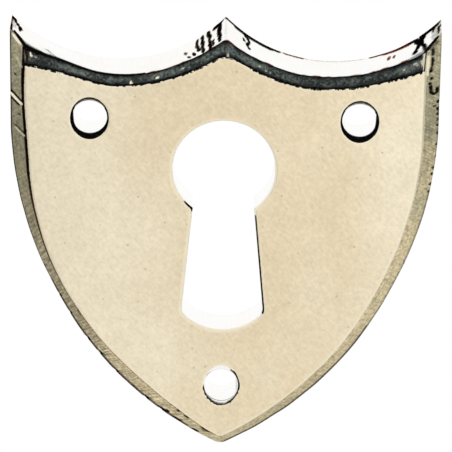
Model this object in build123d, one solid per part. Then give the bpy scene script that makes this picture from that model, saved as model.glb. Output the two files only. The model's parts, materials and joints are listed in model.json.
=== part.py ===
from build123d import *
import os
from math import sqrt

# Keyhole escutcheon: a cast brass shield with a raised field, a bevelled border, a keyhole
# and three pin holes.
# Millimetres. The origin is where the axis of the key meets the back of the plate.
# +X is to the right seen from the front, +Z is up, and the front faces -Y.

# Plate
plate_width = 32.0
plate_thickness = 3.0
field_height = 0.8  # flat face back to the foot of the raised field
border_drop = 0.6  # foot of the field back to the outer edge of the border
shoulder_rise = 3.4  # key axis up to where the straight sides begin to curve in
point_drop = 23.0  # key axis down to the bottom point

# Scalloped top at the back of the plate: two hollows between two corners and a cusp
corner_rise = 11.1
scallop_rise = 7.7
cusp_rise = 11.1

# How far the top edge leans down, from the back of the plate to the outer edge of the border
corner_lean = 0.55
scallop_lean = 0.35
cusp_lean = 0.8

# How far the border reaches in, from its outer edge to the foot of the raised field
side_border = 1.1
point_border = 1.1
corner_border = 1.3
scallop_border = 0.15
cusp_border = 0.3

# How far the raised field slopes in, from its foot to the flat face
side_slope = 0.15
point_slope = 0.15
corner_slope = 1.25
scallop_slope = 0.65
cusp_slope = 0.9

# Radius of the cusp, crisp at the back and filed round towards the face
back_cusp_radius = 0.15
edge_cusp_radius = 0.33
foot_cusp_radius = 0.4
face_cusp_radius = 1.3

# Keyhole
key_round_diameter = 7.7
slot_neck_width = 4.6  # where the slot leaves the round
slot_foot_width = 6.2
slot_foot_drop = 11.5  # key axis down to the foot of the slot's sides
slot_end_drop = 12.95  # key axis down to the middle of the slot's rounded end
slot_corner_radius = 0.8
key_edge_break = 0.12

# Pin holes: a pair under the scallops, and one above the bottom point
pin_hole_diameter = 2.6
upper_pin_spacing = 20.1
upper_pin_rise = 3.95
lower_pin_drop = 17.55
upper_pin_edge_break = 0.25
lower_pin_edge_break = 0.12
edge_break_angle = 90.0  # full angle of the chamfer at a hole's mouth

# Sketch planes, seen from the front: x to the right and y up
BACK = Plane(origin=(0, 0, 0), x_dir=(1, 0, 0), z_dir=(0, -1, 0))
FACE = BACK.offset(plate_thickness)


def shield_outline(plane, half_width, point_z, corner_z, scallop_z, cusp_z, cusp_radius):
    """Shield with straight upper sides, arcs down to a point, and two hollows along the top."""
    point = (0, point_z)
    shoulder = (half_width, shoulder_rise)
    corner = (half_width, corner_z)
    hollow = (half_width / 2, scallop_z)
    cusp = (0, cusp_z)
    with BuildSketch(plane) as outline:
        with BuildLine():
            TangentArc(shoulder, point, tangent=(0, -1))
            Line(shoulder, corner)
            ThreePointArc(corner, hollow, cusp)
            mirror(about=Plane.YZ)
        make_face()
        fillet(outline.vertices().sort_by_distance(cusp)[0], cusp_radius)
    return outline.sketch


def shield_body():
    """Solid shield: an edge wall whose top leans back, a bevelled border and a raised field."""
    half_width = plate_width / 2
    edge_corner = corner_rise - corner_lean
    edge_scallop = scallop_rise - scallop_lean
    edge_cusp = cusp_rise - cusp_lean
    foot_half_width = half_width - side_border
    foot_point = -point_drop + point_border
    foot_corner = edge_corner - corner_border
    foot_scallop = edge_scallop - scallop_border
    foot_cusp = edge_cusp - cusp_border
    foot_level = plate_thickness - field_height
    back = shield_outline(
        BACK,
        half_width,
        -point_drop,
        corner_rise,
        scallop_rise,
        cusp_rise,
        back_cusp_radius,
    )
    edge = shield_outline(
        BACK.offset(foot_level - border_drop),
        half_width,
        -point_drop,
        edge_corner,
        edge_scallop,
        edge_cusp,
        edge_cusp_radius,
    )
    foot = shield_outline(
        BACK.offset(foot_level),
        foot_half_width,
        foot_point,
        foot_corner,
        foot_scallop,
        foot_cusp,
        foot_cusp_radius,
    )
    face = shield_outline(
        FACE,
        foot_half_width - side_slope,
        foot_point + point_slope,
        foot_corner - corner_slope,
        foot_scallop - scallop_slope,
        foot_cusp - cusp_slope,
        face_cusp_radius,
    )
    return loft([back, edge, foot, face], ruled=True)


def keyhole_profile():
    """Round for the key's shank, over a flared slot with a rounded end for its bit."""
    round_radius = key_round_diameter / 2
    neck = slot_neck_width / 2
    neck_drop = sqrt(round_radius**2 - neck**2)
    left_foot = (-slot_foot_width / 2, -slot_foot_drop)
    right_foot = (slot_foot_width / 2, -slot_foot_drop)
    with BuildSketch(BACK) as profile:
        with BuildLine():
            Polyline(left_foot, (-neck, -neck_drop), (neck, -neck_drop), right_foot)
            ThreePointArc(right_foot, (0, -slot_end_drop), left_foot)
        make_face()
        fillet(profile.vertices().group_by(Axis.Y)[0], slot_corner_radius)
        Circle(round_radius)
    return profile.sketch


def cut_keyhole(plate):
    """Keyhole right through the plate, with its front edge broken."""
    plate -= extrude(keyhole_profile(), amount=plate_thickness)
    front = plate.faces().sort_by(Axis.Y)[0]
    return chamfer(front.inner_wires()[0].edges(), key_edge_break)


def pin_hole(x, z, edge_break):
    """Cutter for one pin hole, with its front edge broken."""
    radius = pin_hole_diameter / 2
    hole = CounterSinkHole(radius, radius + edge_break, plate_thickness, edge_break_angle)
    return FACE * Pos(x, z) * hole


plate = cut_keyhole(shield_body())
for side in (-1, 1):
    plate -= pin_hole(side * upper_pin_spacing / 2, upper_pin_rise, upper_pin_edge_break)
plate -= pin_hole(0, -lower_pin_drop, lower_pin_edge_break)

os.makedirs("parts", exist_ok=True)
export_step(plate, "parts/escutcheon_plate.step")
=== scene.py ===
"""Looks of a keyhole escutcheon, built round its CAD plate and laid out as a Blender add-on."""

import json
from math import asin, atan2, cos, hypot, pi, radians, sin, sqrt
from types import SimpleNamespace

import bmesh
import bpy
from bpy.props import FloatProperty, FloatVectorProperty, PointerProperty
from mathutils import Matrix, Vector, noise

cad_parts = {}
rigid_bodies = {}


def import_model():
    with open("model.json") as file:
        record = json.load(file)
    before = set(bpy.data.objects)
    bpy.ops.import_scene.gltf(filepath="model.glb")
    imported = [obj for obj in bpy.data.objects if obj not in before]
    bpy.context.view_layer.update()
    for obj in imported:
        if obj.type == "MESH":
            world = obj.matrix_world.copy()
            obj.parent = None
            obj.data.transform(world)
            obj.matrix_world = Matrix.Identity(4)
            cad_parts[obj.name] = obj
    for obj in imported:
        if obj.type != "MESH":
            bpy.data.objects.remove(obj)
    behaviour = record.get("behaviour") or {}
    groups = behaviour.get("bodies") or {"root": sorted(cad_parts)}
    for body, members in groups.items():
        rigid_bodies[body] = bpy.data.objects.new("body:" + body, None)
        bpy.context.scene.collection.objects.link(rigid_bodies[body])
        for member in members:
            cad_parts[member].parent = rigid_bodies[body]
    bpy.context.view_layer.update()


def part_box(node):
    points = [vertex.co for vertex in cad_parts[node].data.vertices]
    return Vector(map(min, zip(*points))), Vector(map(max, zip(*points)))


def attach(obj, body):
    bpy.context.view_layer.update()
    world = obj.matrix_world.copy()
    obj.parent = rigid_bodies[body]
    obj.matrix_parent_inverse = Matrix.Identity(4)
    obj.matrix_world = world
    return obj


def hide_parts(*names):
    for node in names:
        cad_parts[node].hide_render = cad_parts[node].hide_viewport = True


bl_info = {
    "name": "Keyhole Escutcheon",
    "version": (1, 0, 0),
    "blender": (4, 5, 0),
    "location": "View3D > Sidebar > Escutcheon",
    "description": "Models a bevelled brass keyhole plate and the studio it is shown in",
    "category": "Object",
}

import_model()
plate_low, plate_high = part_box("escutcheon_plate")

MM = 0.001

# Segments of each stretch of an outline, and rows between two outlines
SIDE_STEPS = 380
STRAIGHT_STEPS = 90
SCALLOP_STEPS = 230
CUSP_STEPS = 12
ROUND_STEPS = 120
SLOT_STEPS = 60
CORNER_STEPS = 12
PIN_STEPS = 72
FLOOR_STEPS = 96
WALL_ROWS = 9
BORDER_ROWS = 7
SLOPE_ROWS = 5
HOLE_ROWS = 12
ARRIS_ROWS = 2

# Depths that count as the same, in millimetres
SAME_LEVEL, ON_FACE, ON_SKIN, NEAR_LEVEL, AT_MOUTH, ON_CHAMFER = 1e-4, 1e-3, 0.01, 0.1, 0.06, 0.02

# Margins that belong to a hole, and how far clear of the keyhole the pin holes are sought
KEYHOLE_MARGIN, PIN_MARGIN, KEYHOLE_CLEAR = 0.4, 0.5, 1

# The scalloped top: its height, within a half width, and its overlap with the sides further out
TOP_HEIGHT, TOP_REACH, MITRE_GAP = 5.9, 14.6, 0.06

# Hand filing, in millimetres: where strays fade, the worn corner and point, and the waves
FACE_FADE, BORDER_FADE, SHOULDER_FADE = 0.65, 1.5, (12, 14)
CORNER_WEAR, POINT_WEAR = 1.1, 0.03
WANDER_WAVES, WANDER_ACROSS, WANDER_UP = 0.55, Vector((3.1, 0, 7.7)), Vector((-5.3, 0, 2.9))

# Least turn of an edge that is rounded over, and spacing below which points are merged, where an
# outline closes and on the keyhole's rim
ARRIS_TURN, CLOSED, CROWDED = radians(22), 0.002, 0.07

# Width of the rim of painted highlight on the flat face, as shares of its width along the sides
RIM_POINT, RIM_CORNER, RIM_CUSP, RIM_KEYHOLE, RIM_PIN = 1.15, 1.6, 1.2, 0.75, 0.8

# Finishes of the plate, in the order of its material slots
FACE, SLOPE, BORDER, EDGE, BACK = range(5)

# How square to the front a flat face stands, and the part of it inside the rim of painted
# highlight
FLAT, INNER_FLAT = 0.97, 0.99

# Where the maps of the left side and of the top begin, and their scale across the border
LEFT_RUN, TOP_RUN, RUN_ACROSS = 100, 200, 2

# Strength of dirt, painted shade and rust, where more than 1 stays full though ragged, and of bare
# metal and painted highlight; painted shade fills the upper pin holes and the left of the field,
# painted highlight the right of the field and the keyhole's chamfer
RING_SHADE, SLOPE_DIRT, LEFT_SHADE, LEFT_RUST = 1.15, 1.35, 0.95, 0.8
RIGHT_HIGHLIGHT, KEYHOLE_HIGHLIGHT, BARE_AND_GLINT_FROM, SHADED_FROM = -0.5, -0.8, -0.2, 0.1

# Strokes: radii at which they fade out, and how far those on the top wobble
SOFT_STROKE, WOBBLE, WOBBLE_WAVES = 1.6, 0.1, 4

# Painted shade in the upper pin holes: its fade, its depth and sharpness on the outer wall, and
# its top
RING_FADE, OUTER_DEPTH, OUTER_POWER, RING_TOP = 0.25, 1.8, 16, 0.7

# Black edges of the dark slope, and the reddish fringe above it
SLOPE_EDGE, SLOPE_RAGGED, SLOPE_WAVES, SLOPE_FOOT = 0.3, 0.2, 2.3, 0.03
FRINGE_RUST, FRINGE_SWING, FRINGE_WAVES = 0.45, 1.2, 1.4
FRINGE_HEIGHT, FRINGE_WIDTH = 0.04, 0.16

# Foot of the field at the sides, and the heights where the painted shade on its left and its rust
# begin and are full
FIELD_FOOT, LEFT_SHADE_FADE, LEFT_RUST_FADE = 0.02, (-10, -1), (-24, -18)

# Cards that the metal mirrors, in metres: name, tone, middle, width, height and turn
CARDS = (
    ("ceiling_card", "ceiling_tone", (0, -0.1, 0.15), 0.6, 0.27, 0),
    ("left_card", "left_tone", (-0.108, -0.07, 0.001), 0.18, 0.38, radians(37)),
    ("right_card", "right_tone", (0.2, -0.07, 0.01), 0.19, 0.38, radians(90)),
)

# The lamp, in metres, and where the floor begins to fade and is white, as shares of its radius
LAMP_PLACE = Vector((0, 0.24, 0.17))
LAMP_WIDTH, LAMP_DEPTH = 0.5, 0.3
FADE_START, FADE_END = 0.2, 0.9

# Dirt, scratches, painted shade and painted glints, listed as strokes: start, end, radius in
# millimetres, and strength, where a stroke below zero is bare bright metal, painted bright as a
# glint.
# On the scalloped top a place is (x, y), on a side (z, y), and round the holes (x, z).
TOP_MARKS = (
    (-2.12, -0.35, -2.14, -1, 0.09, 1.1), (-2.14, -1, -1.96, -1.6, 0.1, 1.1),
    (-1.76, -0.25, -1.64, -2.05, 0.1, 1.1), (-1.34, -0.15, -1.16, -0.9, 0.11, 1.1),
    (-1.2, -0.8, -1.12, -2.1, 0.11, 1.1), (-0.92, -1.4, -0.92, -1.9, 0.08, 1),
    (-0.8, -0.25, -0.36, -0.02, 0.16, 1.2), (-0.46, -0.1, -0.52, -1, 0.13, 1.15),
    (-0.5, -0.9, -0.42, -1.9, 0.12, 1.1), (-2.4, -1.6, -2.25, -1.9, 0.08, 1.1),
    (-2.8, -1.75, -2.65, -1.95, 0.07, 1), (-3, -1.2, -2.95, -1.35, 0.09, 0.8),
    (1.45, -0.35, 1.75, -0.7, 0.1, 1.1), (1.75, -0.7, 1.6, -1.25, 0.09, 1.2),
    (1.6, -1.25, 1.75, -1.5, 0.08, 1.1), (1.35, -0.85, 1.37, -0.95, 0.09, 1.1),
    (0.05, 0, 0.8, -0.02, 0.14, 1.3), (0.8, 0, 3.3, -0.05, 0.27, 1.25),
    (3.7, -0.03, 3.9, -0.03, 0.2, 1.2), (12.6, 0, 13.6, -0.12, 0.15, 1.2),
    (13.6, -0.12, 14.15, -0.3, 0.14, 1.3), (14.15, -0.3, 14.4, -1.05, 0.15, 1.4),
    (14.4, -1.05, 14.05, -1.75, 0.13, 1.4), (14.45, -1.05, 14.65, -0.3, 0.18, 1.4),
    (14.65, -0.2, 15.7, -0.04, 0.22, 1.5), (14.5, -1.1, 14.75, -1.6, 0.09, 1.2),
    (14.75, -1.6, 14.78, -2.15, 0.09, 1.2), (14.8, -2.15, 15.6, -1.7, 0.11, 1.2),
    (15.7, -0.3, 15.6, -1.4, 0.35, 0.36), (15.45, -0.4, 15.4, -0.55, 0.09, 1),
    (15.85, -0.6, 15.75, -1.2, 0.09, 1), (-15.95, 0, -15.85, -0.15, 0.22, 1.5),
    (-15.8, -0.2, -15.25, -0.75, 0.09, 1.3), (-15.25, -0.75, -15.3, -1.05, 0.08, 1.3),
    (-15.95, -1.05, -15.95, -1.6, 0.1, 1.3), (-15.6, -1.68, -15.3, -1.88, 0.11, 1.3),
    (-15.3, -1.88, -14.85, -2.17, 0.14, 1.5), (-15.8, -0.5, -15.75, -1.1, 0.2, 0.3),
    (-14.75, -2.12, -13.6, -2.16, 0.11, 1.3), (-13.6, -2.16, -6, -2.19, 0.09, 1.15),
    # Strokes below zero on the slope are painted glints.
    (-7, -2.8, -6.96, -2.82, 0.08, -1), (-5.05, -2.7, -5, -2.74, 0.08, -1),
    (-14.45, -2.35, -14.35, -2.5, 0.07, -0.8), (-14.2, -2.4, -14, -2.42, 0.05, -0.6),
    (-3.2, -2.55, -3.1, -2.6, 0.05, -0.6), (0.1, -2.9, 0.2, -2.9, 0.06, -0.6),
    (2.5, -2.6, 2.55, -2.65, 0.05, -0.7), (3, -2.78, 3.1, -2.8, 0.05, -0.7),
    (3.3, -2.7, 3.34, -2.75, 0.04, -0.6), (13.2, -2.6, 13.3, -2.6, 0.06, -0.5),
    (14, -2.5, 14.2, -2.55, 0.07, -0.5), (14.5, -2.45, 14.55, -2.7, 0.06, -0.5),
)
RUST_MARKS = (
    (4.4, 0, 5.7, 0, 0.17, 0.75), (5.7, 0, 10.2, 0, 0.16, 0.36), (10.9, 0, 11.6, 0, 0.2, 0.95),
    (11.9, 0, 13.6, -0.1, 0.3, 1), (12.2, -0.9, 12.1, -1.2, 0.12, 0.7),
    (12.55, -0.95, 12.5, -1.2, 0.1, 0.7), (-15.95, -0.35, -15.95, -1.05, 0.14, 0.6),
    (-15.5, -0.5, -15.2, -0.8, 0.14, 0.6),
)
LEFT_MARKS = (
    (10.2, -1.6, 2, -1.6, 0.05, 1.2), (2, -1.6, -6, -1.6, 0.04, 1),
    (-6, -1.6, -9.5, -1.6, 0.035, 0.6), (-9.5, -1.6, -21.5, -1.6, 0.085, 0.85),
    # The lines at -2.2, along the foot of the field, are painted shade.
    (9.2, -2.2, -1, -2.2, 0.03, 1.2), (-1, -2.2, -9, -2.2, 0.03, 0.8),
    (5.4, -1.62, 4.7, -2.12, 0.065, -1), (5.66, -1.62, 4.96, -2.1, 0.06, 1.2),
    (5.14, -1.62, 4.6, -2, 0.05, 1.1), (2.75, -1.8, 2.2, -2.16, 0.06, -0.4),
    (2.98, -1.8, 2.43, -2.16, 0.05, 0.8), (8.4, -1.9, 7.6, -2.12, 0.07, -0.3),
    (10, -1.74, 9.4, -2.04, 0.055, -1), (7, -1.85, 6.9, -1.87, 0.05, 0.8),
    (3.9, -2, 3.8, -2.02, 0.05, 0.8), (-8.3, -1.6, -8.45, -1.62, 0.05, 1.2),
    (-10.65, -1.6, -10.8, -1.66, 0.07, 1.4), (-12.1, -1.6, -12.25, -1.65, 0.06, 1.4),
    (-13.35, -1.6, -13.5, -1.62, 0.05, 1.3), (-14.15, -1.6, -14.4, -1.66, 0.07, 1.4),
    (-15.45, -1.6, -15.6, -1.66, 0.08, 1.4), (-16.9, -1.6, -17.1, -1.63, 0.05, 1.3),
    (-18.1, -1.6, -18.3, -1.63, 0.05, 1.3), (-19.05, -1.6, -19.25, -1.66, 0.07, 1.4),
    (-20.05, -1.6, -20.3, -1.67, 0.09, 1.4), (-20.85, -1.6, -21.05, -1.66, 0.08, 1.4),
    (-21.8, -1.6, -22, -1.65, 0.07, 1.3), (-11.85, -2.12, -11.95, -2.12, 0.05, 1),
    (-20.05, -2.14, -20.15, -2.1, 0.07, 1.1), (-20.55, -2.1, -20.7, -2.06, 0.06, 1),
    (-21.55, -2.12, -21.85, -2.04, 0.12, 0.85),
)
RIGHT_MARKS = (
    (9.9, -1.6, -2, -1.6, 0.03, 0.35), (-2, -1.6, -13, -1.6, 0.07, 0.5),
    (-13, -1.6, -22.8, -1.6, 0.085, 0.75), (5.25, -1.63, 5.15, -1.66, 0.06, 1.3),
    (4.7, -1.62, 4.55, -1.64, 0.06, 1.3), (4.3, -1.62, 4.2, -1.66, 0.05, 1.3),
    (4.9, -1.78, 4.86, -1.82, 0.05, 1.1), (3.85, -1.62, 3.7, -1.62, 0.05, 1.2),
    (3.4, -1.62, 3.3, -1.64, 0.05, 1.2), (2.75, -1.62, 2.65, -1.62, 0.05, 1.1),
    (1.9, -1.62, 1.8, -1.64, 0.04, 1.1), (0.9, -1.62, 0.8, -1.62, 0.04, 1.1),
    (0, -1.62, -0.1, -1.64, 0.05, 1.1), (-0.5, -1.64, -0.6, -1.66, 0.04, 1.1),
    (-1.3, -1.62, -1.4, -1.64, 0.05, 1.1), (-1.9, -1.64, -2, -1.64, 0.04, 1),
    (9.35, -1.95, 8.9, -1.96, 0.05, 1.2), (8.7, -1.96, 8.35, -1.95, 0.05, 1.2),
    (8.2, -1.97, 7.95, -2, 0.06, 1.2), (7.8, -1.98, 7.6, -2.04, 0.06, 1.2),
    (7.15, -1.97, 7.05, -1.97, 0.06, 1.2), (6.75, -2.04, 6.65, -2.04, 0.06, 1.2),
    (6.5, -1.99, 6, -1.97, 0.06, 1.3), (6, -1.97, 5.85, -1.85, 0.07, 1.3),
    (5.85, -1.85, 5.95, -1.73, 0.06, 1.3), (5.95, -1.73, 6.3, -1.71, 0.05, 1.2),
    # The first stroke here, below zero along the foot of the field, is a painted highlight.
    (8.9, -2.12, 7.4, -2.14, 0.06, -0.7), (9.9, -1.85, 9.45, -2.08, 0.14, 0.5),
)
# Painted shade in the holes: dark slivers in the keyhole and a dark ring round the lower pin hole.
HOLE_MARKS = (
    (-2.85, -2.62, -2.5, -2.96, 0.08, 1.2), (-2.55, -2.92, -2.3, -3.15, 0.16, 1.4),
    (2.4, -3.7, 2.75, -7, 0.08, 0.85), (2.75, -7, 3.15, -11.4, 0.15, 1.4),
    (0.85, -16.28, 1.14, -16.72, 0.1, 1.1), (1.14, -16.72, 1.32, -17.5, 0.16, 1.6),
    (1.32, -17.5, 1.25, -18.1, 0.16, 1.5), (1.25, -18.1, 0.66, -18.99, 0.1, 1.2),
    (0.66, -18.99, -0.3, -19.2, 0.1, 1), (-0.3, -19.2, -0.66, -18.99, 0.12, 1.2),
    (-0.66, -18.99, -1.14, -18.38, 0.12, 1.3), (-1.14, -18.38, -1.3, -17.7, 0.12, 1.3),
)

# Where the file strayed along the scallops: middle and reach across the plate, and how much
# higher it left the border there and the edge of the raised face, in millimetres
STRAYS = (
    (-12.4, 2.9, 0.3, 0.0),
    (-12.2, 3.9, 0.0, 0.47),
    (-6.5, 3.4, -0.1, 0.0),
    (5.7, 3.1, -0.08, -0.14),
    (12.1, 2.3, 0.07, 0.14),
)

# Where it strayed along the sides: side, middle height and reach, and how much further out it
# left the plate's outline there and the raised field
SIDE_STRAYS = (
    (-1, 6.0, 4.0, 0.0, 0.17),
    (-1, -8.0, 9.5, 0.0, 0.34),
    (-1, -18.0, 8.0, 0.2, 0.0),
    (-1, -22.5, 3.0, 0.0, 0.2),
    (1, -18.0, 8.0, 0.2, 0.0),
    (1, -17.0, 9.0, 0.0, 0.2),
)

# Nicks in the left outer arris, in millimetres: height and depth, half their width, the way they
# dent it, and how far left of the middle they begin
NICKS = (
    (-10.7, 0.05), (-12.2, 0.05), (-14.3, 0.05), (-15.5, 0.06), (-17.0, 0.04), (-19.2, 0.05),
    (-20.2, 0.05),
)
NICK_REACH = 0.16
NICK_WAY = Vector((0.75, 0.0, 0.66))
NICK_LEFT = 1


def length(name, description, millimetres):
    """A length property, given in millimetres and kept in metres."""
    return FloatProperty(
        name=name, description=description, default=millimetres * MM, unit="LENGTH", precision=5
    )


def in_mm(metres):
    """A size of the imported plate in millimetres, to the nearest micrometre."""
    return round(metres / MM, 3)


def angle(name, description, degrees):
    """An angle property, given in degrees and kept in radians."""
    return FloatProperty(
        name=name, description=description, default=radians(degrees), subtype="ANGLE"
    )


def share(name, description, value, most=1.0):
    """A plain number from nought upwards."""
    return FloatProperty(name=name, description=description, default=value, min=0, max=most)


def colour(name, description, value):
    """A colour property."""
    return FloatVectorProperty(
        name=name, description=description, default=value, size=3, min=0, max=1, subtype="COLOR"
    )


class PlateSizes(bpy.types.PropertyGroup):
    """Sizes of the plate, with the key's axis at the origin."""

    half_width: length("Half Width", "Middle of the plate to its side", in_mm(plate_high.x))
    thickness: length("Thickness", "Back of the plate to its flat face", in_mm(-plate_low.y))
    point_drop: length("Point Drop", "Key axis down to the bottom point", in_mm(-plate_low.z))
    corner_rise: length("Corner Rise", "Key axis up to the top corners", in_mm(plate_high.z))
    shoulder_rise: length("Shoulder Rise", "Key axis up to where the sides run straight", 3.4)
    scallop_rise: length("Scallop Rise", "Key axis up to the foot of the scallops", 7.7)
    cusp_rise: length("Cusp Rise", "Key axis up to the cusp between the scallops", 11.1)
    field_height: length("Field Height", "Flat face back to the foot of the raised field", 0.8)
    border_drop: length("Border Drop", "Foot of the field back to the border's outer edge", 0.6)
    corner_lean: length("Corner Lean", "Lean of the top edge at the corners", 0.55)
    scallop_lean: length("Scallop Lean", "Lean of the top edge in the scallops", 0.35)
    cusp_lean: length("Cusp Lean", "Lean of the top edge at the cusp", 0.8)
    side_border: length("Side Border", "Width of the border at the sides", 1.1)
    point_border: length("Point Border", "Width of the border at the point", 1.1)
    corner_border: length("Corner Border", "Height of the border at the corners", 1.3)
    scallop_border: length("Scallop Border", "Height of the border in the scallops", 0.15)
    cusp_border: length("Cusp Border", "Height of the border at the cusp", 0.3)
    side_slope: length("Side Slope", "Width of the field's slope at the sides", 0.15)
    point_slope: length("Point Slope", "Width of the field's slope at the point", 0.15)
    corner_slope: length("Corner Slope", "Height of the field's slope at the corners", 1.25)
    scallop_slope: length("Scallop Slope", "Height of the field's slope in the scallops", 0.65)
    cusp_slope: length("Cusp Slope", "Height of the field's slope at the cusp", 0.9)
    back_cusp: length("Back Cusp", "Radius of the cusp at the back", 0.15)
    edge_cusp: length("Edge Cusp", "Radius of the cusp at the border's outer edge", 0.33)
    foot_cusp: length("Foot Cusp", "Radius of the cusp at the foot of the field", 0.4)
    face_cusp: length("Face Cusp", "Radius of the cusp at the flat face", 1.3)
    key_radius: length("Key Radius", "Radius of the round of the keyhole", 3.85)
    neck_half: length("Neck Half Width", "Half the slot's width where it leaves the round", 2.3)
    foot_half: length("Foot Half Width", "Half the slot's width at its foot", 3.1)
    foot_drop: length("Foot Drop", "Key axis down to the foot of the slot's sides", 11.5)
    slot_end: length("Slot End", "Key axis down to the middle of the slot's end", 12.95)
    slot_corner: length("Slot Corner", "Radius of the slot's lower corners", 0.8)
    key_break: length("Key Break", "Chamfer on the front edge of the keyhole", 0.12)
    pin_radius: length("Pin Radius", "Radius of the pin holes", 1.3)
    pin_reach: length("Pin Reach", "Middle of the plate to the upper pin holes", 10.05)
    upper_pin: length("Upper Pin Rise", "Key axis up to the upper pin holes", 3.95)
    lower_pin: length("Lower Pin Drop", "Key axis down to the lower pin hole", 17.55)
    upper_break: length("Upper Break", "Chamfer on the upper pin holes", 0.25)
    lower_break: length("Lower Break", "Chamfer on the lower pin hole", 0.12)
    upper_wide: length("Upper Wide", "Half the width of an upper pin hole's mouth", 1.41)
    upper_tall: length("Upper Tall", "Half the height of an upper pin hole's mouth", 1.65)
    lower_wide: length("Lower Wide", "Half the width of the lower pin hole's mouth", 1.32)
    lower_tall: length("Lower Tall", "Half the height of the lower pin hole's mouth", 1.66)
    arris: length("Arris", "How far each sharp edge is rounded over", 0.045)
    # The flat face's rim, this wide, carries a painted highlight.
    rim: length("Rim", "Width of the rubbed border of the flat face", 0.26)
    wander: length("Wander", "How far the hand-filed outlines stray", 0.03)
    blunting: length("Blunting", "How far the left top corner is worn in", 0.12)


class PlateFinish(bpy.types.PropertyGroup):
    """Colours and polish of the brass."""

    face_warm: colour("Face Warm", "Warmer patches of the satin face", (0.885, 0.75, 0.52))
    face_cool: colour("Face Cool", "Cooler patches of the satin face", (0.972, 0.863, 0.645))
    # Rubbed brass, also used for the painted highlight along the flat face's rim and round the
    # keyhole, and for painted glints.
    rubbed_and_highlight: colour("Rubbed", "Brass rubbed bright along edges", (0.99, 0.9, 0.69))
    # The border's two tones are mixed by noise and by painted shade that leans darker towards the
    # top.
    border_dark: colour("Border Dark", "Duller upper stretches of the border", (0.46, 0.425, 0.28))
    border_light: colour("Border Light", "Fresher stretches of the border", (0.635, 0.54, 0.34))
    # Near white: the edge and the holes painted as bright as their highlight.
    edge_tone: colour("Edge Tone", "Bright brass of the edge and the holes", (0.98, 0.975, 0.955))
    back_tone: colour("Back Tone", "Cast brass at the back", (0.55, 0.43, 0.24))
    # Partly tarnish, partly a painted dark reflection of the space above the plate.
    slate: colour("Slate", "Tarnish on the slope of the raised field", (0.215, 0.245, 0.22))
    # Black and umber also carry the painted shade in the holes and on the left of the field.
    black: colour("Black", "Dirt packed against the edges", (0.008, 0.008, 0.009))
    umber: colour("Umber", "Thin brown dirt", (0.13, 0.11, 0.075))
    rust: colour("Rust", "Reddish brown along the edges", (0.24, 0.075, 0.04))
    face_roughness: share("Face Roughness", "Roughness of the satin face", 0.37)
    border_roughness: share("Border Roughness", "Roughness of the filed border", 0.27)
    edge_roughness: share("Edge Roughness", "Roughness of the edge and the holes", 0.2)
    back_roughness: share("Back Roughness", "Roughness of the cast back", 0.5)


class StudioLook(bpy.types.PropertyGroup):
    """Camera, lamp, cards and floor round the plate."""

    floor_drop: length("Floor Drop", "Bottom point down to the floor", 40)
    floor_radius: length("Floor Radius", "Radius of the floor", 75)
    floor_tone: colour("Floor Tone", "Colour of the floor", (0.82, 0.82, 0.81))
    ceiling_tone: colour("Ceiling Tone", "Card above the plate", (0.3, 0.31, 0.32))
    left_tone: colour("Left Tone", "Card at the left", (0.46, 0.47, 0.47))
    right_tone: colour("Right Tone", "Card at the right", (0.5, 0.5, 0.49))
    lamp_power: share("Lamp Power", "Power of the soft lamp behind the plate, in watts", 0.5, 10)
    fill: share("Fill", "Strength of the white dome that lights the floor", 1.0, 10)
    distance: length("Distance", "Plate to camera", 260)
    elevation: angle("Elevation", "Angle of the camera above the plate's axis", 21)
    roll: angle("Roll", "Lean of the camera", -0.8)
    aim_height: length("Aim Height", "Height of the point that the camera looks at", -5.87)
    slide: length("Slide", "How far the camera stands to the right of that point", 0.213)
    lift: length("Lift", "How far the camera stands above that point", 0.228)
    lens: FloatProperty(
        name="Lens", description="Focal length in millimetres", default=271.9, unit="CAMERA"
    )


def bump(offset, reach):
    """1 in the middle of a stretch, falling smoothly to 0 at its reach."""
    return max(0, 1 - (offset / reach) ** 2) ** 1.5


def ramp(value, low, high):
    """0 at a low value, 1 at a high one, even between them and the same beyond."""
    return min(1, max(0, (value - low) / (high - low)))


def side_arc(half_width, drop):
    """Radius of the arc that leaves an upright side and comes to the middle so much lower."""
    return (half_width**2 + drop**2) / (2 * half_width)


def circle_through(a, b, c):
    """Centre and radius of the circle through three points of the plate's plane."""
    (ax, az), (bx, bz), (cx, cz) = a, b, c
    a2, b2, c2 = ax**2 + az**2, bx**2 + bz**2, cx**2 + cz**2
    d = 2 * (ax * (bz - cz) + bx * (cz - az) + cx * (az - bz))
    x = (a2 * (bz - cz) + b2 * (cz - az) + c2 * (az - bz)) / d
    z = (a2 * (cx - bx) + b2 * (ax - cx) + c2 * (bx - ax)) / d
    return (x, z), hypot(ax - x, az - z)


def bearing(centre, place):
    """Angle of a place about a centre, anticlockwise as seen from the front."""
    return atan2(place[1] - centre[1], place[0] - centre[0])


def pen_down(x, y, z):
    """Puts one vertex in the open mesh, ready to be drawn out into an outline."""
    bpy.ops.mesh.primitive_plane_add(size=1, location=(x, y, z))
    bpy.ops.mesh.merge(type="CENTER")


def pen_line(dx, dz, steps):
    """Draws the pen's vertex along a straight stretch."""
    bpy.ops.mesh.extrude_repeat(steps=steps, offset=(dx / steps, 0, dz / steps))


def pen_arc(centre, y, sweep, steps):
    """Draws the pen's vertex round an arc, anticlockwise as seen from the front."""
    bpy.ops.mesh.spin(
        steps=steps, angle=sweep, center=(centre[0], y, centre[1]), axis=(0, 1, 0)
    )


def pen_up():
    """Closes the outline that was drawn and leaves it selected."""
    bpy.ops.mesh.select_linked()
    bpy.ops.mesh.remove_doubles(threshold=CLOSED)


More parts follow.
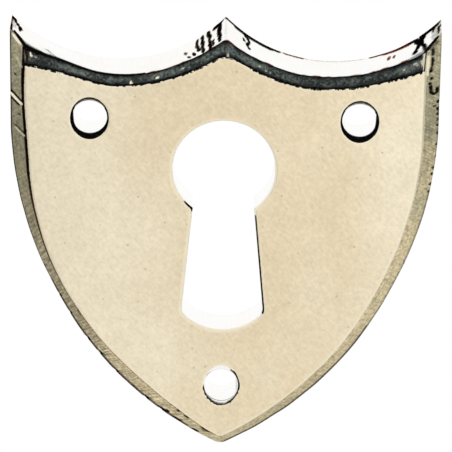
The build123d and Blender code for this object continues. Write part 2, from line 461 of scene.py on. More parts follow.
def draw_shield(y, half_width, shoulder, point, corner, scallop, cusp, cusp_radius):
    """Draws one shield outline: sides, two hollows along the top and a cusp between them."""
    side_radius = side_arc(half_width, shoulder - point)
    side_centre = half_width - side_radius
    side_sweep = asin((shoulder - point) / side_radius)
    hollow, hollow_radius = circle_through(
        (half_width, corner), (half_width / 2, scallop), (0, cusp)
    )
    reach = hollow_radius + cusp_radius
    cusp_centre = (0, hollow[1] - sqrt(reach**2 - hollow[0] ** 2))
    hollow_sweep = bearing(hollow, cusp_centre) - bearing(hollow, (half_width, corner))
    cusp_sweep = pi - 2 * bearing(cusp_centre, hollow)
    pen_down(0, y, point)
    pen_arc((side_centre, shoulder), y, side_sweep, SIDE_STEPS)
    pen_line(0, corner - shoulder, STRAIGHT_STEPS)
    pen_arc(hollow, y, hollow_sweep, SCALLOP_STEPS)
    pen_arc(cusp_centre, y, cusp_sweep, CUSP_STEPS)
    pen_arc((-hollow[0], hollow[1]), y, hollow_sweep, SCALLOP_STEPS)
    pen_line(0, shoulder - corner, STRAIGHT_STEPS)
    pen_arc((-side_centre, shoulder), y, side_sweep, SIDE_STEPS)
    pen_up()


def draw_keyhole(radius, neck, foot, foot_drop, end_drop, corner):
    """Draws the keyhole at the back of the plate: a round over a flared, round-ended slot."""
    neck_drop = sqrt(radius**2 - neck**2)
    end, end_radius = circle_through((-foot, -foot_drop), (0, -end_drop), (foot, -foot_drop))
    side = Vector((foot - neck, neck_drop - foot_drop)).normalized()
    inward = Vector((side.y, -side.x))
    lead = Vector((neck, -neck_drop)) + corner * inward - Vector(end)
    run = -lead.dot(side) + sqrt(
        lead.dot(side) ** 2 - lead.length_squared + (end_radius - corner) ** 2
    )
    turn = Vector(end) + lead + run * side
    corner_sweep = bearing((0, 0), -inward) - bearing(end, turn)
    end_sweep = pi + 2 * bearing(end, turn)
    pen_down(neck, 0, -neck_drop)
    pen_arc((0, 0), 0, pi + 2 * asin(neck_drop / radius), ROUND_STEPS)
    pen_line(-run * side.x, run * side.y, SLOT_STEPS)
    pen_arc((-turn.x, turn.y), 0, corner_sweep, CORNER_STEPS)
    pen_arc(end, 0, end_sweep, SLOT_STEPS)
    pen_arc(turn, 0, corner_sweep, CORNER_STEPS)
    pen_line(-run * side.x, -run * side.y, SLOT_STEPS)
    pen_up()


def raise_rim(height, rows):
    """Draws the selected rim out towards the front."""
    bpy.ops.mesh.extrude_repeat(steps=rows, offset=(0, -height / rows, 0))


def open_mesh(context):
    """The mesh that is open for editing, and its editable shape."""
    mesh = context.object.data
    return mesh, bmesh.from_edit_mesh(mesh)


def pick_level(*levels):
    """Selects the vertices that lie at the given depths."""
    bpy.ops.mesh.select_all(action="DESELECT")
    mesh, shape = open_mesh(bpy.context)
    for v in shape.verts:
        v.select = any(abs(v.co.y - level) < SAME_LEVEL for level in levels)
    shape.select_flush_mode()
    bmesh.update_edit_mesh(mesh)


def stray_rise(s, place):
    """How much higher an uneven scallop lies at a place of the border or of the raised face."""
    x, y, z = place
    if z < s.upper_pin or y > -NEAR_LEVEL:
        return 0
    rise, on_face = 0, y < NEAR_LEVEL - s.thickness
    for middle, reach, border_rise, face_rise in STRAYS:
        rise += bump(x - middle, reach) * (face_rise if on_face else border_rise)
    corner = s.half_width - s.side_border - s.side_slope
    return rise * ramp(corner - abs(x), 0, FACE_FADE if on_face else BORDER_FADE)


def side_stray(s, place):
    """How far out, across and up, an uneven side lies at a place of an outline."""
    x, y, z = place
    out, on_field = 0, y < NEAR_LEVEL + s.field_height - s.thickness
    for side, middle, reach, outline_step, field_step in SIDE_STRAYS:
        if x * side > 0:
            out += bump(z - middle, reach) * (field_step if on_field else outline_step)
    if z > s.shoulder_rise:
        out *= ramp(abs(x), *SHOULDER_FADE)
    radius = side_arc(s.half_width, s.shoulder_rise + s.point_drop)
    away = Vector((abs(x) + radius - s.half_width, min(0, z - s.shoulder_rise)))
    return out * away.normalized()


def hand_file(s):
    """Lets the selected outline stray a little, as filed by hand, inside the plate's own box."""
    mesh, shape = open_mesh(bpy.context)
    for v in shape.verts:
        if not v.select:
            continue
        stray_x = s.wander * noise.noise(v.co * WANDER_WAVES + WANDER_ACROSS)
        stray_z = s.wander * noise.noise(v.co * WANDER_WAVES + WANDER_UP)
        tip = Vector((s.half_width + v.co.x, s.corner_rise - v.co.z)).length
        worn = s.blunting * max(0, 1 - tip / CORNER_WEAR) ** 2
        step = side_stray(s, v.co)
        z = v.co.z + stray_z + stray_rise(s, v.co) + step.y - worn
        across = (stray_x if v.co.x > 0 else -stray_x) + step.x
        x = abs(v.co.x) + across * min(1, abs(v.co.x)) - worn
        v.co.x = min(x, s.half_width) * (1 if v.co.x > 0 else -1)
        v.co.z = min(max(z, POINT_WEAR - s.point_drop), s.corner_rise)
    bmesh.update_edit_mesh(mesh)


def pick_arrises(s, whole):
    """Selects the edges to round over: sharp ones but for the holes' backs, and whole outlines."""
    bpy.ops.mesh.select_mode(type="EDGE")
    bpy.ops.mesh.select_all(action="DESELECT")
    bpy.ops.mesh.edges_select_sharp(sharpness=ARRIS_TURN)
    mesh, shape = open_mesh(bpy.context)
    for e in shape.edges:
        a, b = e.verts[0].co, e.verts[1].co
        if any(abs(a.y - level) + abs(b.y - level) < SAME_LEVEL for level in whole):
            e.select_set(True)
        elif a.y + b.y > -ON_FACE and in_hole(s, (a.x + b.x) / 2, (a.z + b.z) / 2):
            e.select_set(False)
    bmesh.update_edit_mesh(mesh)


def model_plate(s):
    """Models the plate in millimetres, in the open mesh of the active object."""
    front, rim = -s.thickness, s.rim
    foot = front + s.field_height
    edge = foot + s.border_drop
    ahead = front - 1  # where the rim of the flat face is drawn before it is laid back
    half_width, point = s.half_width, -s.point_drop
    corner, scallop, cusp = s.corner_rise, s.scallop_rise, s.cusp_rise
    for y, side, tail, drops, radius in (
        (0, 0, 0, (0, 0, 0), s.back_cusp),
        (edge, 0, 0, (s.corner_lean, s.scallop_lean, s.cusp_lean), s.edge_cusp),
        (
            foot, s.side_border, s.point_border,
            (s.corner_border, s.scallop_border, s.cusp_border), s.foot_cusp,
        ),
        (
            front, s.side_slope, s.point_slope,
            (s.corner_slope, s.scallop_slope, s.cusp_slope), s.face_cusp,
        ),
        (
            ahead, rim, RIM_POINT * rim,
            (RIM_CORNER * rim, rim, RIM_CUSP * rim), s.face_cusp - rim,
        ),
    ):
        half_width -= side
        point += tail
        corner, scallop, cusp = corner - drops[0], scallop - drops[1], cusp - drops[2]
        draw_shield(y, half_width, s.shoulder_rise, point, corner, scallop, cusp, radius)
        hand_file(s)
    for low, high, rows in (
        (0, edge, WALL_ROWS), (edge, foot, BORDER_ROWS), (foot, front, SLOPE_ROWS),
        (front, ahead, 0),
    ):
        pick_level(low, high)
        bpy.ops.mesh.bridge_edge_loops(number_cuts=rows, interpolation="LINEAR")

    draw_keyhole(
        s.key_radius, s.neck_half, s.foot_half, s.foot_drop, s.slot_end, s.slot_corner
    )
    raise_rim(s.thickness - s.key_break, HOLE_ROWS)
    raise_rim(s.key_break, 1)
    bpy.ops.transform.shrink_fatten(value=s.key_break)
    raise_rim(front - ahead, 1)
    bpy.ops.transform.shrink_fatten(value=RIM_KEYHOLE * rim)
    bpy.ops.mesh.remove_doubles(threshold=CROWDED)
    for x, z, chamfer, wide, tall in pin_holes(s):
        bpy.ops.mesh.primitive_circle_add(
            vertices=PIN_STEPS, radius=s.pin_radius, location=(x, 0, z), rotation=(pi / 2, 0, 0)
        )
        raise_rim(s.thickness - chamfer, HOLE_ROWS)
        raise_rim(chamfer, 1)
        middle = (x, front, z)
        bpy.ops.transform.resize(
            value=(wide / s.pin_radius, 1, tall / s.pin_radius), center_override=middle
        )
        raise_rim(front - ahead, 1)
        spread = 1 + RIM_PIN * rim / s.pin_radius
        bpy.ops.transform.resize(value=(spread, 1, spread), center_override=middle)
    for level in (0, ahead):
        pick_level(level)
        bpy.ops.mesh.fill(use_beauty=True)
    bpy.ops.transform.translate(value=(0, front - ahead, 0))
    bpy.ops.mesh.select_all(action="SELECT")
    bpy.ops.mesh.normals_make_consistent(inside=False)
    pick_arrises(s, (edge, foot))
    bpy.ops.mesh.bevel(
        offset_type="OFFSET", offset=s.arris, segments=ARRIS_ROWS, affect="EDGES",
        clamp_overlap=False,
    )
    bpy.ops.mesh.select_mode(type="VERT")


def pin_holes(s):
    """Place and chamfer of each pin hole, and half the width and height of its worn mouth."""
    return (
        (-s.pin_reach, s.upper_pin, s.upper_break, s.upper_wide, s.upper_tall),
        (s.pin_reach, s.upper_pin, s.upper_break, s.upper_wide, s.upper_tall),
        (0, -s.lower_pin, s.lower_break, s.lower_wide, s.lower_tall),
    )


def in_hole(s, x, z):
    """Whether a place of an edge belongs to a hole, and not to the outline."""
    reach = s.key_radius + KEYHOLE_MARGIN
    if abs(x) < reach and -s.slot_end - KEYHOLE_MARGIN < z < reach:
        return True
    reach = s.pin_radius + PIN_MARGIN
    return any(hypot(x - px, z - pz) < reach for px, pz, *_ in pin_holes(s))


def on_top(s, x, y, z):
    """Whether a place of the edge belongs to the scalloped top, and not to a side."""
    if abs(x) < TOP_REACH:
        return z > TOP_HEIGHT
    foot_reach = s.half_width - s.side_border
    foot_rise = s.corner_rise - s.corner_lean - s.corner_border
    inward = (s.field_height - s.thickness - y) / s.field_height
    if inward > 0:
        return z > foot_rise - s.corner_slope * inward - MITRE_GAP
    return z > foot_rise + s.corner_border / s.side_border * (abs(x) - foot_reach) - MITRE_GAP


def stroke_depth(place, marks):
    """Strongest darkening, dirt and painted shade, and strongest bare metal and painted glint,
    that the marks leave at a place.
    """
    dirt_and_shade = bare_and_glint = 0
    spot = Vector(place)
    for ax, az, bx, bz, radius, strength in marks:
        a, b = Vector((ax, az)), Vector((bx, bz))
        along = ramp((spot - a).dot(b - a), 0, (b - a).length_squared)
        near = max(0, 1 - (spot - a.lerp(b, along)).length / (SOFT_STROKE * radius))
        value = min(1, 2 * near) * strength
        dirt_and_shade, bare_and_glint = max(dirt_and_shade, value), min(bare_and_glint, value)
    return dirt_and_shade, bare_and_glint


def hole_shade_and_highlight(s, place):
    """Painted shade in a hole: a ring that goes deep on the upper pin holes' outer walls, and
    strokes; and a painted highlight round the keyhole's chamfer.
    """
    x, y, z = place
    behind = s.thickness + y
    if z > -s.key_radius and abs(x) > s.key_radius + KEYHOLE_CLEAR:
        outward, rise = (abs(x) - s.pin_reach) / s.pin_radius, z - s.upper_pin
        if behind < ON_FACE or (rise > RING_TOP and behind > AT_MOUTH):
            return 0
        # Painted shade, deepest on the upper pin holes' outer walls.
        deep = s.upper_break + OUTER_DEPTH * max(0, outward) ** OUTER_POWER
        return max(0, min(RING_SHADE, RING_SHADE - (behind - deep) / RING_FADE))
    if behind > s.key_break + ON_CHAMFER:
        return 0
    dirt_and_shade = stroke_depth((x, z), HOLE_MARKS)[0]
    if z < -s.slot_end - KEYHOLE_CLEAR:
        return dirt_and_shade if behind < AT_MOUTH else 0
    if behind < ON_FACE:
        return 0
    return dirt_and_shade if dirt_and_shade > SHADED_FROM else KEYHOLE_HIGHLIGHT


def dirt_and_light_at(s, place):
    """Dirt, painted shade and painted highlight at a place of the plate, from -1, scraped bare and
    painted bright, over 0, clean, to above 1, black.
    """
    x, y, z = place
    foot = s.field_height - s.thickness
    if in_hole(s, x, z):
        return hole_shade_and_highlight(s, place)
    if on_top(s, x, y, z):
        wobble = WOBBLE * noise.noise(Vector((x, y, 0)) * WOBBLE_WAVES)
        dirt_and_shade, bare_and_glint = stroke_depth((x + wobble, y), TOP_MARKS)
        if y < foot + SLOPE_FOOT:
            rise = min(y + s.thickness, foot - y + SLOPE_FOOT)
            ragged = SLOPE_RAGGED * noise.noise(Vector((x * SLOPE_WAVES, y, 3)))
            dirt_and_shade = max(dirt_and_shade, SLOPE_DIRT * max(0, 1 - rise / (SLOPE_EDGE + ragged)))
    else:
        dirt_and_shade, bare_and_glint = stroke_depth((z, y), LEFT_MARKS if x < 0 else RIGHT_MARKS)
        # Along the foot of the field: painted highlight on the right, and painted shade on the
        # left, darker towards the top.
        if y < foot + FIELD_FOOT:
            if x > 0:
                return RIGHT_HIGHLIGHT
            dirt_and_shade = max(dirt_and_shade, LEFT_SHADE * ramp(z, *LEFT_SHADE_FADE))
    return bare_and_glint if bare_and_glint < BARE_AND_GLINT_FROM else dirt_and_shade


def rust_at(s, place):
    """Reddish brown: marks and a broken fringe on the scalloped top, and the left of the field."""
    x, y, z = place
    foot = s.field_height - s.thickness
    if in_hole(s, x, z):
        return 0
    if not on_top(s, x, y, z):
        on_left = x < 0 and y < foot + FIELD_FOOT
        return LEFT_RUST * ramp(z, *LEFT_RUST_FADE) if on_left else 0
    swing = FRINGE_SWING * noise.noise(Vector((x * FRINGE_WAVES, 5, 0)))
    fringe = max(0, FRINGE_RUST + swing)
    fringe *= max(0, 1 - abs(y - foot - FRINGE_HEIGHT) / FRINGE_WIDTH)
    return max(fringe, stroke_depth((x, y), RUST_MARKS)[0])


def nick_outline(s):
    """Dents the left outer arris of the open mesh."""
    mesh, shape = open_mesh(bpy.context)
    level = s.field_height + s.border_drop - s.thickness
    for v in shape.verts:
        if v.co.x > -NICK_LEFT or v.co.z > s.shoulder_rise:
            continue
        for height, depth in NICKS:
            miss = hypot(v.co.z - height, v.co.y - level)
            if miss < NICK_REACH:
                v.co += NICK_WAY * depth * (1 - (miss / NICK_REACH) ** 2)
    bmesh.update_edit_mesh(mesh)


def map_plate(s):
    """Gives the open mesh its finishes, a map along its edge, its dirt, rust, painted shade and
    painted highlights, and its rim of painted highlight.
    """
    mesh, shape = open_mesh(bpy.context)
    run = shape.loops.layers.uv.new("edge_run")
    grime = shape.verts.layers.float.new("grime")
    rust = shape.verts.layers.float.new("rust")
    rim = shape.verts.layers.float.new("rim")
    front = -s.thickness
    foot = front + s.field_height
    radius = side_arc(s.half_width, s.shoulder_rise + s.point_drop)
    for v in shape.verts:
        flat = abs(v.co.y - front) < ON_FACE
        # Vertices on the rim of the flat face, where the painted highlight goes.
        v[rim] = flat and any(face.normal.y > -INNER_FLAT for face in v.link_faces)
        if v[rim] or not flat:
            v[grime] = dirt_and_light_at(s, v.co)
            v[rust] = rust_at(s, v.co)
    for face in shape.faces:
        x, y, z = face.calc_center_median()
        top = on_top(s, x, y, z)
        hole = in_hole(s, x, z)
        if face.normal.y < -FLAT and y < front + ON_SKIN:
            face.material_index = FACE
        elif face.normal.y > FLAT and y > -ON_SKIN:
            face.material_index = BACK
        elif hole or (top and y > foot):
            face.material_index = EDGE
        elif top:
            face.material_index = SLOPE
        else:
            face.material_index = BORDER
        for loop in face.loops:
            x, y, z = loop.vert.co
            if hole or face.material_index in (FACE, BACK):
                loop[run].uv = (x, z)
            elif top:
                loop[run].uv = (TOP_RUN + x, -y)
            else:
                along = z - s.shoulder_rise
                if along < 0:
                    along = radius * asin(max(-1, along / radius))
                loop[run].uv = (along + (LEFT_RUN if x < 0 else 0), -RUN_ACROSS * y)
    bmesh.update_edit_mesh(mesh)


def put(tree, kind, inputs=None, **options):
    """Adds a shader node, sets its options, and sets or links its inputs."""
    node = tree.nodes.new("ShaderNode" + kind)
    for name, value in options.items():
        setattr(node, name, value)
    for key, value in (inputs or {}).items():
        if isinstance(value, bpy.types.NodeSocket):
            tree.links.new(value, node.inputs[key])
        else:
            node.inputs[key].default_value = value
    return node


def blend(tree, factor, a, b, kind="MIX"):
    """Mixes two colours."""
    a, b = (tuple(c) + (1,) if not isinstance(c, bpy.types.NodeSocket) else c for c in (a, b))
    mixed = put(tree, "Mix", {0: factor, 6: a, 7: b}, data_type="RGBA", blend_type=kind)
    return mixed.outputs[2]


def span(tree, value, low, high, to_low=0.0, to_high=1.0):
    """Maps a stretch of a value onto another stretch, and clamps it."""
    mapped = put(tree, "MapRange", {0: value, 1: low, 2: high, 3: to_low, 4: to_high})
    return mapped.outputs[0]


def shaded(tree, tone, value, dark, light, low=0.3, high=0.7):
    """Darkens and lightens a colour with a pattern."""
    return blend(tree, 1.0, tone, span(tree, value, low, high, dark, light), "MULTIPLY")


def sums(tree, kind, a, b):
    """One step of arithmetic."""
    return put(tree, "Math", {0: a, 1: b}, operation=kind).outputs[0]


def clouds(tree, place, scale, detail=2.0, stretch=(1, 1, 1), turn=(0, 0, 0)):
    """Noise at so many features to the millimetre, more along some axes and turned if asked."""
    sizes = tuple(1 / many for many in stretch)
    turned = {"Vector": place, "Rotation": turn, "Scale": sizes}
    vector = put(tree, "Mapping", turned, vector_type="TEXTURE").outputs[0]
    pattern = put(tree, "TexNoise", {"Vector": vector, "Scale": scale, "Detail": detail})
    return pattern.outputs["Fac"]


def layer(tree, name):
    """A value kept on the plate's vertices."""
    return put(tree, "Attribute", attribute_name=name).outputs["Fac"]


def edge_run(tree):
    """The map that follows the plate's edge, and lies flat on its face."""
    return put(tree, "UVMap", uv_map="edge_run").outputs[0]


def axes(tree, place):
    """The X, Y and Z of a place."""
    return put(tree, "SeparateXYZ", {0: place}).outputs


def new_finish(name):
    """A material, its nodes, its shader, and the place on the piece in millimetres."""
    material = bpy.data.materials.new(name)
    material.use_nodes = True
    tree = material.node_tree
    shader = tree.nodes["Principled BSDF"]
    shader.inputs["Metallic"].default_value = 1
    spot = put(tree, "TexCoord").outputs["Object"]
    place = put(tree, "VectorMath", {0: spot, "Scale": 1 / MM}, operation="SCALE")
    return material, tree, shader, place.outputs[0]


def dress(tree, shader, tone, roughness, height, depth):
    """Gives a shader its colour, roughness and bump."""
    tree.links.new(tone, shader.inputs["Base Color"])
    tree.links.new(roughness, shader.inputs["Roughness"])
    relief = put(tree, "Bump", {"Height": height, "Distance": depth * MM, "Strength": 1.0})
    tree.links.new(relief.outputs[0], shader.inputs["Normal"])


def soil_and_light(tree, look, shader, place, tone, thin):
    """Covers a colour with the plate's own dirt and painted shade, and bares and dulls it where it
    is scraped and where glints and highlights are painted.
    """
    grime = layer(tree, "grime")
    ragged = span(tree, clouds(tree, place, 6.5, 3), 0.3, 0.7, 0.72, 1.25)
    dirt_and_shade = sums(tree, "MULTIPLY", grime, ragged)
    tone = blend(tree, span(tree, dirt_and_shade, 0.15, 0.6), tone, thin)
    red = sums(tree, "MULTIPLY", layer(tree, "rust"), ragged)
    tone = blend(tree, span(tree, red, 0.2, 0.65), tone, look.rust)
    # Black where dirt and painted shade are thick.
    black_dirt_and_shade = span(tree, dirt_and_shade, 0.76, 0.95)
    tone = blend(tree, black_dirt_and_shade, tone, look.black)
    # Bare metal and painted glints: the rubbed colour, hardly metallic, so that it stays bright
    # whatever it mirrors.
    bare_and_glint = span(tree, grime, -0.1, -0.7)
    dull = span(tree, sums(tree, "MAXIMUM", dirt_and_shade, red), 0.2, 0.8)
    tree.links.new(blend(tree, dull, (1, 1, 1), (0, 0, 0)), shader.inputs["Specular Tint"])
    tree.links.new(span(tree, bare_and_glint, 0, 1, 1, 0.15), shader.inputs["Metallic"])
    return blend(tree, bare_and_glint, tone, look.rubbed_and_highlight), dirt_and_shade, sums(tree, "MULTIPLY", bare_and_glint, 0.35)


def satin_face(look):
    """Flat field: cream satin brass with fine grain, hairlines and pinprick specks, a painted
    highlight along its rim, and dirt and painted shade in black along parts of the rim.
    """
    material, tree, shader, place = new_finish("satin_face")
    spot = axes(tree, place)
    drift = clouds(tree, place, 0.1, 3)
    for axis, near, far, near_step, far_step in (
        ("X", -11, -3, 0.3, -0.15), ("X", 9, 14, 0, 0.22), ("Z", -4, -14, 0, 0.13),
    ):
        drift = sums(tree, "ADD", drift, span(tree, spot[axis], near, far, near_step, far_step))
    drift = span(tree, drift, 0.36, 0.64)
    tone = blend(tree, drift, look.face_warm, look.face_cool)
    grain = clouds(tree, place, 3.8, 3, turn=(0, radians(38), 0))
    tone = shaded(tree, tone, grain, 0.935, 1.06)
    brushed = clouds(tree, place, 1.0, 3, (4.6, 1, 1.5), (0, radians(-35), 0))
    tone = shaded(tree, tone, brushed, 0.95, 1.045)
    hair = clouds(tree, place, 1.0, 2, (9, 1, 0.22), (0, radians(-14), 0))
    tone = blend(tree, span(tree, hair, 0.66, 0.74, 0, 0.3), tone, look.border_light)
    flat = {"Vector": edge_run(tree), "Scale": 0.5}
    cells = put(tree, "TexVoronoi", flat, voronoi_dimensions="2D").outputs
    pick = span(tree, cells["Color"], 0.5, 0.8)
    prick = span(tree, cells["Distance"], 0.02, 0.055, 0.36, 0)
    tone = blend(tree, sums(tree, "MULTIPLY", pick, prick), tone, look.umber)
    # Painted highlight along the rim of the flat face.
    rubbed_and_highlight = sums(tree, "MULTIPLY", layer(tree, "rim"), 0.75)
    tone = blend(tree, rubbed_and_highlight, tone, look.rubbed_and_highlight)
    # Black along the rim of the face: along the top, and as painted shade along the left and round
    # the lower pin hole.
    ragged = span(tree, clouds(tree, place, 4.5, 3), 0.35, 0.65, 0.5, 1.2)
    face_dirt_and_shade = sums(tree, "MULTIPLY", layer(tree, "grime"), ragged)
    tone = blend(tree, span(tree, face_dirt_and_shade, 0.85, 1.1), tone, look.black)
    rough = look.face_roughness
    worn = span(tree, clouds(tree, place, 0.8, 3), 0.3, 0.7, rough - 0.04, rough + 0.05)
    height = sums(tree, "ADD", grain, sums(tree, "MULTIPLY", brushed, 0.6))
    dress(tree, shader, tone, worn, height, 0.004)
    return material


def dark_slope(look):
    """Slope of the field along the scallops: slate tarnish with a painted dark reflection,
    speckled, with black edges.
    """
    material, tree, shader, place = new_finish("dark_slope")
    patches = span(tree, clouds(tree, place, 0.4, 2), 0.35, 0.65, -0.17, 0.13)
    grain = clouds(tree, place, 5, 3)
    speckle = span(tree, sums(tree, "ADD", grain, patches), 0.36, 0.68)
    # Dark slate: tarnish with a painted dark reflection.
    deep = tuple(0.3 * c for c in look.slate)
    tone = blend(tree, speckle, deep, tuple(1.6 * c for c in look.slate))
    tone, _, matt = soil_and_light(tree, look, shader, place, tone, deep)
    worn = sums(tree, "ADD", sums(tree, "MAXIMUM", matt, 0.12), look.border_roughness)
    dress(tree, shader, tone, worn, grain, 0.03)
    return material


def filed_border(look):
    """Bevelled border and sides of the field: dull filed brass, streaked across its run, with
    painted light and shade by height.
    """
    material, tree, shader, place = new_finish("filed_border")
    run, spot = edge_run(tree), axes(tree, place)
    # Painted shade by height: darker towards the top, lighter towards the bottom.
    rise = span(tree, spot["Z"], 7, -9, -0.2, 0.2)
    drift = sums(tree, "ADD", clouds(tree, run, 0.45, 3, (1, 0.3, 1)), rise)
    tone = blend(tree, span(tree, drift, 0.35, 0.65), look.border_dark, look.border_light)
    strokes = clouds(tree, run, 1.0, 3, (7, 0.8, 1), (0, 0, radians(-30)))
    mild = span(tree, strokes, 0.3, 0.7, 0.8, 1.19)
    bold = span(tree, strokes, 0.35, 0.65, 0.62, 1.4)
    right, upper = span(tree, spot["X"], -3, 3), span(tree, spot["Z"], -7, -1)
    streaks = blend(tree, sums(tree, "MAXIMUM", right, upper), bold, mild)
    tone = blend(tree, 1.0, tone, streaks, "MULTIPLY")
    # Painted light and shade by height: lighter up to the top corners, darker down to the point.
    for near, far, far_shade in ((3, 9, 1.36), (-10, -19, 0.82)):
        tone = shaded(tree, tone, spot["Z"], 1, far_shade, near, far)
    tone = shaded(tree, tone, clouds(tree, run, 1.0, 3, (0.5, 6, 1)), 0.85, 1.14)
    grain = clouds(tree, place, 4.5, 4)
    tone = shaded(tree, tone, grain, 0.68, 1.3)
    tone, dirt_and_shade, matt = soil_and_light(tree, look, shader, place, tone, look.umber)
    worn = sums(tree, "ADD", span(tree, strokes, 0.3, 0.7, -0.05, 0.06), look.border_roughness)
    worn = sums(tree, "ADD", worn, sums(tree, "MAXIMUM", matt, sums(tree, "MULTIPLY", dirt_and_shade, 0.12)))
    height = sums(tree, "ADD", strokes, sums(tree, "MULTIPLY", grain, 0.5))
    dress(tree, shader, tone, worn, height, 0.02)
    return material


def bright_edge(look):
    """Edge wall and walls of the holes: brass painted near white as its highlight, with dirt in
    its nicks and painted shade in the holes.
    """
    material, tree, shader, place = new_finish("bright_edge")
    strokes = clouds(tree, edge_run(tree), 1.0, 3, (5, 0.8, 1))
    warm = span(tree, clouds(tree, place, 0.35, 3), 0.5, 0.75, 0, 0.15)
    # Near-white base: a painted highlight.
    tone = blend(tree, warm, look.edge_tone, look.face_cool)
    tone = shaded(tree, tone, strokes, 0.985, 1.01)
    tone, dirt_and_shade, matt = soil_and_light(tree, look, shader, place, tone, look.umber)
    worn = sums(tree, "MAXIMUM", matt, sums(tree, "MULTIPLY", dirt_and_shade, 0.25))
    worn = sums(tree, "ADD", worn, look.edge_roughness)
    height = sums(tree, "SUBTRACT", strokes, dirt_and_shade)
    dress(tree, shader, tone, worn, height, 0.012)
    return material


def cast_back(look):
    """Back of the plate: brass as it was cast, sandy, scored, pitted and clouded with tarnish."""
    material, tree, shader, place = new_finish("cast_back")
    drift = span(tree, clouds(tree, place, 0.14, 5), 0.35, 0.65)
    tone = blend(tree, drift, tuple(0.68 * c for c in look.back_tone), look.back_tone)
    film = span(tree, clouds(tree, place, 0.4, 6), 0.48, 0.76, 0, 0.5)
    tone = blend(tree, film, tone, look.umber)
    scored = clouds(tree, place, 1.0, 3, (0.25, 1, 7), (0, radians(12), 0))
    tone = shaded(tree, tone, scored, 0.88, 1.1)
    sand = clouds(tree, place, 3.2, 4)
    tone = shaded(tree, tone, sand, 0.8, 1.14)
    pits = span(tree, clouds(tree, place, 2.1, 2), 0.66, 0.73, 0, 0.7)
    tone = blend(tree, pits, tone, look.rust)
    rough = look.back_roughness
    worn = span(tree, sand, 0.3, 0.7, rough - 0.08, rough + 0.1)
    dress(tree, shader, tone, worn, sums(tree, "SUBTRACT", sand, pits), 0.05)
    return material


class ESCUTCHEON_OT_plate(bpy.types.Operator):
    """Models the brass plate and gives it its finishes"""

    bl_idname = "escutcheon.plate"
    bl_label = "Brass Plate"

    def execute(self, context):
        sizes, look = context.scene.plate_sizes, context.scene.plate_finish
        s = SimpleNamespace(
            **{name: getattr(sizes, name) / MM for name in PlateSizes.__annotations__}
        )
        bpy.ops.object.select_all(action="DESELECT")
        bpy.ops.mesh.primitive_plane_add(size=1)
        plate = context.object
        plate.name = plate.data.name = "brass_plate"
        bpy.ops.object.mode_set(mode="EDIT")
        bpy.ops.mesh.select_mode(type="VERT")
        bpy.ops.mesh.delete(type="VERT")
        model_plate(s)
        nick_outline(s)
        map_plate(s)
        bpy.ops.mesh.select_all(action="SELECT")
        bpy.ops.mesh.normals_make_consistent(inside=False)
        bpy.ops.transform.resize(value=(MM, MM, MM), center_override=(0, 0, 0))
        bpy.ops.mesh.select_all(action="DESELECT")
        bpy.ops.mesh.select_non_manifold()
        if any(v.select for v in open_mesh(context)[1].verts):
            raise RuntimeError("the plate's mesh isn't closed")
        bpy.ops.object.mode_set(mode="OBJECT")
        for finish in (satin_face, dark_slope, filed_border, bright_edge, cast_back):
            plate.data.materials.append(finish(look))
        bpy.ops.object.shade_smooth_by_angle(angle=radians(35))
        even = plate.modifiers.new("even_normals", "WEIGHTED_NORMAL")
        even.keep_sharp = True
        bpy.ops.object.modifier_apply(modifier=even.name)
        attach(plate, "root")
        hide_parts("escutcheon_plate")
        return {"FINISHED"}


def light_only(name, tone):
    """A material that only glows, for a card that the metal mirrors."""
    material = bpy.data.materials.new(name)
    material.use_nodes = True
    tree = material.node_tree
    tree.nodes.remove(tree.nodes["Principled BSDF"])
    glow = put(tree, "Emission", {"Color": tuple(tone) + (1,), "Strength": 1.0})
    tree.links.new(glow.outputs[0], tree.nodes["Material Output"].inputs["Surface"])
    return material


def hang_card(name, tone, middle, width, height, turn):
    """Hangs a glowing card where the metal mirrors it and nothing else sees it."""
    bpy.ops.object.select_all(action="DESELECT")
    bpy.ops.mesh.primitive_plane_add(size=1)
    card = bpy.context.object
    card.name = name
    bpy.ops.transform.resize(value=(width, height, 1), center_override=(0, 0, 0))
    bpy.ops.object.transform_apply(location=False, rotation=False, scale=True)
    card.rotation_euler = (0, turn, 0)
    card.location = middle
    card.data.materials.append(light_only(name, tone))
    card.visible_camera = card.visible_diffuse = card.visible_shadow = False
    card.visible_transmission = card.visible_volume_scatter = False


def seen_rays(tree):
    """1 for rays from the camera, or mirrored or let through by something, and 0 for others."""
    path = put(tree, "LightPath").outputs
    seen = sums(tree, "MAXIMUM", path["Is Camera Ray"], path["Is Glossy Ray"])
    return sums(tree, "MAXIMUM", seen, path["Is Transmission Ray"])


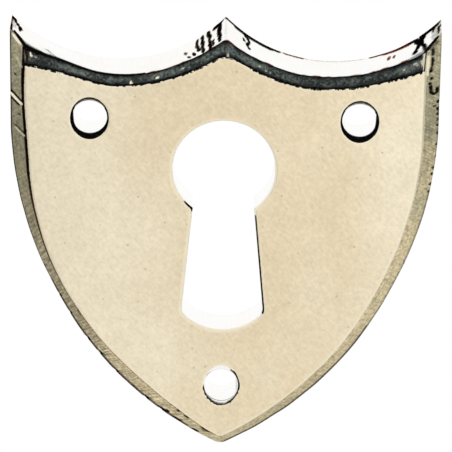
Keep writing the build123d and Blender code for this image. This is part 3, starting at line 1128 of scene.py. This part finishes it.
class ESCUTCHEON_OT_studio(bpy.types.Operator):
    """Sets up the pale floor, the soft light and the camera"""

    bl_idname = "escutcheon.studio"
    bl_label = "Studio"

    def execute(self, context):
        scene, look = context.scene, context.scene.studio_look
        scene.view_settings.view_transform = "Standard"
        self.set_world(scene, look)
        self.lay_floor(look)
        for name, tone, middle, width, height, turn in CARDS:
            hang_card(name, getattr(look, tone), middle, width, height, turn)
        self.hang_lamp(look)
        self.set_camera(scene, look)
        return {"FINISHED"}

    def set_world(self, scene, look):
        """White where it is seen or mirrored, and elsewhere a dome as strong as the fill."""
        world = bpy.data.worlds.new("pale_studio")
        world.use_nodes = True
        scene.world = world
        tree = world.node_tree
        strength = span(tree, seen_rays(tree), 0, 1, look.fill, 1)
        dome = tree.nodes["Background"]
        dome.inputs["Color"].default_value = (1, 1, 1, 1)
        tree.links.new(strength, dome.inputs["Strength"])

    def lay_floor(self, look):
        """A pale round floor that fades into the white round it."""
        bpy.ops.object.select_all(action="DESELECT")
        bpy.ops.mesh.primitive_circle_add(
            vertices=FLOOR_STEPS, radius=look.floor_radius, fill_type="NGON",
            location=(0, 0, plate_low.z - look.floor_drop),
        )
        floor = bpy.context.object
        floor.name = "floor"
        material = bpy.data.materials.new("pale_floor")
        material.use_nodes = True
        tree = material.node_tree
        shader = tree.nodes["Principled BSDF"]
        shader.inputs["Base Color"].default_value = tuple(look.floor_tone) + (1,)
        shader.inputs["Roughness"].default_value = 0.9
        spot = put(tree, "TexCoord").outputs["Object"]
        reach = put(tree, "VectorMath", {0: spot}, operation="LENGTH").outputs["Value"]
        fade = span(tree, reach, FADE_START * look.floor_radius, FADE_END * look.floor_radius)
        white = put(tree, "Emission", {"Strength": seen_rays(tree)})
        both = put(tree, "MixShader", {0: fade, 1: shader.outputs[0], 2: white.outputs[0]})
        tree.links.new(both.outputs[0], tree.nodes["Material Output"].inputs["Surface"])
        floor.data.materials.append(material)

    def hang_lamp(self, look):
        """A broad soft lamp above and behind, for the shadow on the floor."""
        bpy.ops.object.light_add(type="AREA", location=LAMP_PLACE)
        lamp = bpy.context.object
        lamp.name = "soft_lamp"
        lamp.data.shape = "RECTANGLE"
        lamp.data.size, lamp.data.size_y = LAMP_WIDTH, LAMP_DEPTH
        lamp.data.energy = look.lamp_power
        lamp.rotation_euler = (-LAMP_PLACE).to_track_quat("-Z", "Y").to_euler()
        lamp.visible_camera = lamp.visible_glossy = False

    def set_camera(self, scene, look):
        """The camera where the photograph was taken from."""
        forward = Vector((0, cos(look.elevation), -sin(look.elevation)))
        level = Vector((1, 0, 0))
        rise = level.cross(forward)
        right = cos(look.roll) * level - sin(look.roll) * rise
        up = sin(look.roll) * level + cos(look.roll) * rise
        place = Vector((0, 0, look.aim_height)) + look.slide * right + look.lift * up
        place -= look.distance * forward
        bpy.ops.object.camera_add()
        camera = bpy.context.object
        camera.name = "camera"
        camera.matrix_world = Matrix.Translation(place) @ Matrix(
            (right, up, -forward)
        ).transposed().to_4x4()
        camera.data.sensor_width = 36
        camera.data.lens = look.lens
        camera.data.clip_start, camera.data.clip_end = 0.01, 20
        scene.camera = camera


class ESCUTCHEON_PT_panel(bpy.types.Panel):
    """Lists the plate and its studio in the sidebar of the 3D view"""

    bl_idname = "ESCUTCHEON_PT_panel"
    bl_label = "Keyhole Escutcheon"
    bl_space_type = "VIEW_3D"
    bl_region_type = "UI"
    bl_category = "Escutcheon"

    def draw(self, context):
        scene = context.scene
        for group in (scene.plate_sizes, scene.plate_finish, scene.studio_look):
            column = self.layout.column(align=True)
            for name in group.__annotations__:
                column.prop(group, name)
        self.layout.operator("escutcheon.plate")
        self.layout.operator("escutcheon.studio")


CLASSES = (
    PlateSizes, PlateFinish, StudioLook,
    ESCUTCHEON_OT_plate, ESCUTCHEON_OT_studio, ESCUTCHEON_PT_panel,
)


def register():
    for item in CLASSES:
        bpy.utils.register_class(item)
    bpy.types.Scene.plate_sizes = PointerProperty(type=PlateSizes)
    bpy.types.Scene.plate_finish = PointerProperty(type=PlateFinish)
    bpy.types.Scene.studio_look = PointerProperty(type=StudioLook)


def unregister():
    del bpy.types.Scene.studio_look
    del bpy.types.Scene.plate_finish
    del bpy.types.Scene.plate_sizes
    for item in reversed(CLASSES):
        bpy.utils.unregister_class(item)


def main():
    register()
    bpy.ops.escutcheon.plate()
    bpy.ops.escutcheon.studio()


if __name__ == "__main__":
    main()
